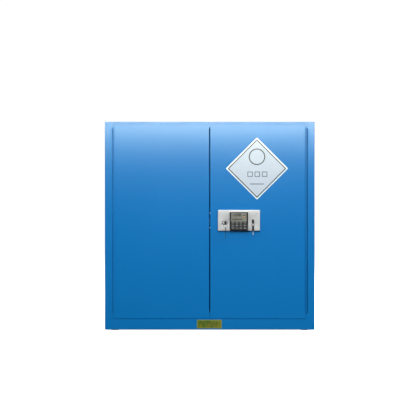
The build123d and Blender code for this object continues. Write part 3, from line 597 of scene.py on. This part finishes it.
def makeDisplay():
    p = display
    front = p["paneDeep"] - keypad["front"]
    pane = plate(windowOutline(-p["paneGap"], -p["paneGap"], p["paneCorner"]), [],
                 front + p["paneThick"], front, p["paneEdge"])
    prints = []
    for index, figure in enumerate(p["figures"]):
        x = keypad["x"] + p["figureX"] + index * p["figureStep"]
        prints += figureBars(figure, x, p["figureZ"])
    for index in range(p["rowCount"]):
        x = keypad["x"] + p["rowX"] + (index - (p["rowCount"] - 1) / 2) * p["rowStep"]
        prints.append(roundRect(x, p["rowZ"], p["rowWide"], p["rowHigh"], p["rowCorner"], 2))
    start, end = p["hoodFrom"], p["hoodTo"]
    prints.append(arcPoints(p["lampX"], p["lampZ"], p["hoodR"], start, end, 20)
                  + arcPoints(p["lampX"], p["lampZ"], p["hoodR"] - p["hoodLine"], end, start, 20))
    inks = [(plate(outline, [], front + p["inkSunk"], front - p["inkProud"]), "displayInk")
            for outline in prints]
    piece("displayPane", [(pane, "displayGlass"), *inks], "right_door", "window_plastic", "display_window")
    lens = [(p["lampR"] * share, depth) for share, depth in p["lens"]]
    lamp = atDepth(turned(lens, "Y", (p["lampX"], front, p["lampZ"]), 32))
    piece("displayLamp", [(lamp, "amberLens")], "right_door", "window_plastic")


def keyLegend(face, x, z):
    p = keypad
    front = -p["keyFront"]
    if face == "dash":
        return plate(roundRect(x, z, *p["dash"], p["dashCorner"], 3), [], front, front - p["ink"])
    if face == "ring":
        outside, inside = p["ring"]
        return plate(circle(x, z, outside, 24), [circle(x, z, inside, 24)], front, front - p["ink"])
    return numeral(face, p["numeral"], x, z, front - p["numeralProud"])


def makeKeys():
    p = keypad
    for number, face, x, z in keyPlaces():
        cap = plate(roundRect(x, z, p["keyWide"], p["keyHigh"], p["keyCorner"]), [],
                    -p["keyBack"], -p["keyFront"], p["keyEdge"])
        piece(f"keypadKey{number}", [(cap, "keyMoulding"), (keyLegend(face, x, z), "keyInk")],
              f"key_{number}", "key_plastic", f"keypad_key_{number}")


# keys of the two locks; top is where the ring hangs from, slack its play in the spare key's hole
lockKeys = {
    "override": {"lock": overrideLock, "thick": 3.0, "edge": 0.45, "holeZ": 556.0, "holeR": 2.4,
                 "top": 554.7, "ringR": 10.0, "slack": 1.2, "bowHigh": 25.0, "bladeLong": 36.0,
                 "head": "keySteel", "blade": "keySteel", "slot": "satin_steel"},
    "main": {"lock": mainLock, "thick": 8.6, "edge": 1.7, "holeZ": 561.0, "holeR": 3.4,
             "top": 559.5, "ringR": 8.2, "slack": 1.6, "bowHigh": 28.0, "bladeLong": 22.0,
             # the main key's blade takes the pale zinc, a painted highlight
             "head": "keyHeadMoulding", "blade": "paleZincPaintedLight", "slot": "black_plastic"},
}
# all keys are seen edge-on from the front; a bow's hole and ring lie at holeDepth, cuts are depths
keyForm = {"holeDepth": -28.0, "bowWide": 22.0, "bowHigh": 22.0, "bowBack": -13.5, "corner": 6.0,
           "holeWall": 2.6, "shoulderAt": -13.0, "shoulder": (3.0, 10.0), "shoulderCorner": 0.6,
           "bladeIn": 15.0, "bladeHalf": 4.0, "bladeThick": 2.2, "bladeCorner": 0.4, "edge": 0.2,
           "tip": 3.0, "bladeOver": 1.5, "cuts": (1.6, 0.7, 2.0, 1.0, 1.8, 0.5),
           "wire": 1.5, "turns": 1.9, "knots": 96}


def bladeOutline(middle, top, long):
    # a blade that points down, with its cuts on the side towards the door
    half, tip = keyForm["bladeHalf"], keyForm["tip"]
    points = [(middle - half, top), (middle - half, top - long + tip), (middle, top - long),
              (middle + half - 1, top - long + tip)]
    step = (long - 8) / len(keyForm["cuts"])
    for index, deep in enumerate(reversed(keyForm["cuts"])):
        low = top - long + tip + 1 + index * step
        points += [(middle + half, low), (middle + half - deep, low + step * 0.35),
                   (middle + half - deep, low + step * 0.6)]
    points.append((middle + half, top))
    return points[::-1]


def splitRing(x, z, radius):
    # nearly two turns of wire side by side, about the line through the key's hole
    f = keyForm
    points = []
    for i in range(f["knots"] + 1):
        share = i / f["knots"]
        angle = math.pi / 2 + f["turns"] * 2 * math.pi * share
        points.append((x + radius * math.cos(angle), f["holeDepth"] + (share - 0.5) * f["wire"],
                       z + radius * math.sin(angle)))
    return wire(points, f["wire"] / 2)


def makeLockKey(name, k):
    f, x, z = keyForm, k["lock"]["x"], k["lock"]["z"]
    outline = roundRect(f["bowBack"] - f["bowWide"] / 2, z, f["bowWide"], f["bowHigh"], f["corner"])
    bow = sidePlate(outline, [circle(f["holeDepth"], k["holeZ"], k["holeR"], 32)], x, k["thick"], k["edge"])
    outline = roundRect(-f["bladeIn"] / 2, z, f["bladeIn"], 2 * f["bladeHalf"], f["bladeCorner"], 2)
    blade = sidePlate(outline, [], x, f["bladeThick"] - f["edge"], f["edge"])
    outline = roundRect(f["shoulderAt"], z, *f["shoulder"], f["shoulderCorner"], 2)
    shoulder = sidePlate(outline, [], x, f["bladeThick"], f["edge"])
    piece(name + "Key", [(bow, k["head"]), (blade, k["blade"]), (shoulder, k["blade"])],
          name + "_lock", k["slot"], name + "_key")


def makeSpareKey(name, k):
    f, x = keyForm, k["lock"]["x"]
    holeZ = k["top"] - 2 * k["ringR"] - k["slack"]
    top = holeZ + k["holeR"] + f["holeWall"]
    low = top - k["bowHigh"]
    outline = roundRect(f["holeDepth"], (top + low) / 2, f["bowWide"], k["bowHigh"], f["corner"])
    bow = sidePlate(outline, [circle(f["holeDepth"], holeZ, k["holeR"], 32)], x, k["thick"], k["edge"])
    over = f["bladeOver"]                          # how far the blade reaches into the bow
    blade = sidePlate(bladeOutline(f["holeDepth"], low + over, k["bladeLong"] + over), [], x,
                      f["bladeThick"] - f["edge"])
    ring = splitRing(x, k["top"] - k["ringR"], k["ringR"])
    piece(name + "SpareKey", [(bow, k["head"]), (blade, k["blade"]), (ring, "keySteel")],
          name + "_spare", k["slot"], name + "_spare_key")


# levelling feet: a pad with a rubber sole, a nut and a threaded stud; each disc's edge is
# a row of (inset from its radius, height)
footForm = {"padR": 20.0, "sole": ((3.4, 0.3), (3.0, 0), (1.2, 0), (0.8, 0.4), (0.8, 1.6)),
            "pad": ((0.5, 1.5), (0, 2.0), (0, 5.0), (0.6, 6.2), (6.0, 7.2), (9.5, 9.0)),
            "nutR": 9.0, "nut": ((0.4, 8.8), (0, 9.4), (0, 12.6), (0.6, 13.2)),
            "studR": 5.0, "studLow": 8.0, "studTop": 44.0, "pitch": 1.5, "turns": 23, "thread": 0.7,
            "tip": 0.6}


def discProfile(radius, steps):
    rim = [(radius - inset, high) for inset, high in steps]
    return [(0, rim[0][1]), *rim, (0, rim[-1][1])]


def studProfile():
    f = footForm
    root, low = f["studR"] - f["thread"], f["studLow"]
    points = [(0, low)]
    for turn in range(f["turns"]):
        points += [(root, low + turn * f["pitch"]), (f["studR"], low + (turn + 0.5) * f["pitch"])]
    return points + [(root, f["studTop"] - f["tip"]), (root - f["thread"], f["studTop"]), (0, f["studTop"])]


def makeFeet():
    f = footForm
    for number in range(1, 5):
        low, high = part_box(f"foot_{number}")
        centre = ((low.x + high.x) / 2 / mm, (low.y + high.y) / 2 / mm, 0.0)
        parts = [(turned(discProfile(f["padR"], f["sole"]), "Z", centre), "blackRubber"),
                 # the pad takes the pale zinc, painted light that lifts it out of the cabinet's shade
                 (turned(discProfile(f["padR"], f["pad"]), "Z", centre), "paleZincPaintedLight"),
                 (turned(studProfile(), "Z", centre, 24), "platedSteel"),
                 (turned(discProfile(f["nutR"], f["nut"]), "Z", centre, 6), "platedSteel")]
        piece(f"levellingFoot{number}", parts, f"foot_{number}", "black_rubber", f"foot_{number}")


# vent caps: a disc with a turned step and a milled rim, on a ring that sits in the mouth;
# rim and face are rows of (inset from the disc's radius, distance from the wall)
capForm = {"discR": 34.0, "near": 0.3, "far": 3.0, "rim": ((0.5, 0.3), (0, 0.7), (0, 2.1)), "milling": 0.5,
           "face": ((0.6, 0.5), (0.6, 2.3), (1.6, 3.0), (7.0, 3.0), (8.0, 2.2), (20.0, 2.2), (21.0, 3.0)),
           "ringOut": 27.2, "ringIn": 25.4, "ringDeep": 7.0, "ringCut": (0.5, 0.6)}


def makeVentCaps():
    f = capForm
    for name, side in (("left", -1), ("right", 1)):
        low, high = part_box("vent_cap_" + name)
        wall = (low.x if side < 0 else high.x) / mm - side * f["far"]
        centre = (wall, (low.y + high.y) / 2 / mm, (low.z + high.z) / 2 / mm)
        near, deep, outer = side * f["near"], -side * f["ringDeep"], f["ringOut"]
        start = (f["ringIn"], near)
        rim = [start] + [(f["discR"] - inset, side * out) for inset, out in f["rim"]]
        face = [start] + [(f["discR"] - inset, side * out) for inset, out in f["face"]]
        face.append((0, side * f["far"]))
        inset, rise = f["ringCut"]
        spigot = [start, (outer, near), (outer, deep + side * rise), (outer - inset, deep),
                  (f["ringIn"], deep), start]
        parts = [(turned(rim, "X", centre, 144, f["milling"]), "turnedBrass"),
                 (turned(face, "X", centre, 72), "turnedBrass"),
                 (turned(spigot, "X", centre, 72), "turnedBrass")]
        piece("ventCap" + name.capitalize(), parts, "vent_cap_" + name, "brass", "vent_cap_" + name)


makePlacard()
makeLabel()
makeGapLips()
print("plates and lips made")
makeLockPanel()
makeLockCollars()
makeKeypadHousing()
makeDisplay()
makeKeys()
print("lock panel made")
for name, recipe in lockKeys.items():
    makeLockKey(name, recipe)
    makeSpareKey(name, recipe)
print("keys made")
makeFeet()
makeVentCaps()
print("feet and caps made")

# floor, light and camera, in metres and watts; the camera sees worldSeen behind the part,
# and worldLight is all the light that comes from there
studio = {"floorTone": 0.95, "floorRough": 0.9, "floorGloss": 0.1, "floorGlow": 1.0, "floorSize": 60.0,
          "worldSeen": 1.05, "worldLight": 0.03, "softboxPowers": (12.6, 2.6, 0.60, 0.20, 0.08),
          "softboxTop": 1.12, "softboxStep": 0.1, "softboxX": 0.1, "softboxY": -0.72, "softboxWide": 2.4,
          "softboxTint": (1.0, 1.0, 0.70), "aim": (0.0, 0.0, 0.55)}
# place, power and size of each large soft lamp
lamps = {"leftFill": ((-5.0, -3.7, 3.6), 160.0, 3.6), "rightFill": ((5.0, -3.7, 3.6), 235.0, 3.6),
         "frontBox": ((0.1, -2.72, 2.45), 104.0, 2.0), "leftSide": ((-3.4, 1.8, 3.9), 130.0, 2.5),
         "rightSide": ((3.4, 1.8, 3.9), 130.0, 2.5), "rear": ((0.6, 3.6, 4.2), 170.0, 2.5),
         "overhead": ((0.0, 0.2, 4.4), 38.0, 2.0)}
cameraAt = {"x": -0.0089, "y": -6.2235, "z": 0.638, "lens": 100.0, "sensor": 36.0, "reach": 100.0}
white = (1.0, 1.0, 1.0, 1.0)


def makeFloor():
    built = bmesh.new()
    bmesh.ops.create_grid(built, x_segments=8, y_segments=8, size=studio["floorSize"] / 2)
    sheet = bpy.data.meshes.new("studioFloor")
    built.to_mesh(sheet)
    built.free()
    floor = bpy.data.objects.new("studioFloor", sheet)
    bpy.context.scene.collection.objects.link(floor)
    material = bpy.data.materials.new("floorPaper")
    material.use_nodes = True
    shader = material.node_tree.nodes["Principled BSDF"]
    shader.inputs["Base Color"].default_value = (*[studio["floorTone"]] * 3, 1.0)
    shader.inputs["Roughness"].default_value = studio["floorRough"]
    shader.inputs["Specular IOR Level"].default_value = studio["floorGloss"]
    shader.inputs["Emission Color"].default_value = white
    shader.inputs["Emission Strength"].default_value = studio["floorGlow"]
    sheet.materials.append(material)
    floor.visible_diffuse = False      # the glowing paper doesn't light the paint from below
    floor.visible_glossy = False


def makeWorld():
    world = bpy.data.worlds.new("studioWorld")
    bpy.context.scene.world = world
    world.use_nodes = True
    tree = world.node_tree
    tree.nodes.clear()
    add, join = tree.nodes.new, tree.links.new
    mix = add("ShaderNodeMixShader")
    join(add("ShaderNodeLightPath").outputs["Is Camera Ray"], mix.inputs[0])
    for socket, strength in ((1, studio["worldLight"]), (2, studio["worldSeen"])):
        glow = add("ShaderNodeBackground")
        glow.inputs["Strength"].default_value = strength
        glow.inputs["Color"].default_value = white
        join(glow.outputs[0], mix.inputs[socket])
    join(mix.outputs[0], add("ShaderNodeOutputWorld").inputs["Surface"])


def areaLight(name, place, aim, power, wide, high):
    lamp = bpy.data.lights.new(name, "AREA")
    lamp.shape = "RECTANGLE"
    lamp.size, lamp.size_y = wide, high
    lamp.energy = power
    holder = bpy.data.objects.new(name, lamp)
    holder.location = place
    holder.rotation_euler = (Vector(aim) - Vector(place)).to_track_quat("-Z", "Y").to_euler()
    holder.visible_camera = False
    bpy.context.scene.collection.objects.link(holder)
    return holder


def makeLights():
    # a graded softbox in front of the top edge gives the pale sheen, brightest at the top
    x, step = studio["softboxX"], studio["softboxStep"]
    for index, power in enumerate(studio["softboxPowers"]):
        height = studio["softboxTop"] - index * step
        box = areaLight(f"softbox{index + 1}", (x, studio["softboxY"], height), (x, 0.0, height), power,
                        studio["softboxWide"], step)
        box.visible_diffuse = False
        box.data.color = studio["softboxTint"]
    for name, (place, power, size) in lamps.items():
        areaLight(name, place, studio["aim"], power, size, size)


def makeCamera():
    c = cameraAt
    lens = bpy.data.cameras.new("photoCamera")
    lens.lens = c["lens"]
    lens.sensor_width = c["sensor"]
    lens.clip_end = c["reach"]
    camera = bpy.data.objects.new("photoCamera", lens)
    camera.location = (c["x"], c["y"], c["z"])
    camera.rotation_euler = (math.pi / 2, 0, 0)
    bpy.context.scene.collection.objects.link(camera)
    bpy.context.scene.camera = camera


makeFloor()
makeWorld()
makeLights()
makeCamera()
bpy.context.scene.view_settings.view_transform = "Standard"
bpy.context.scene.view_settings.look = "None"
print("studio made")
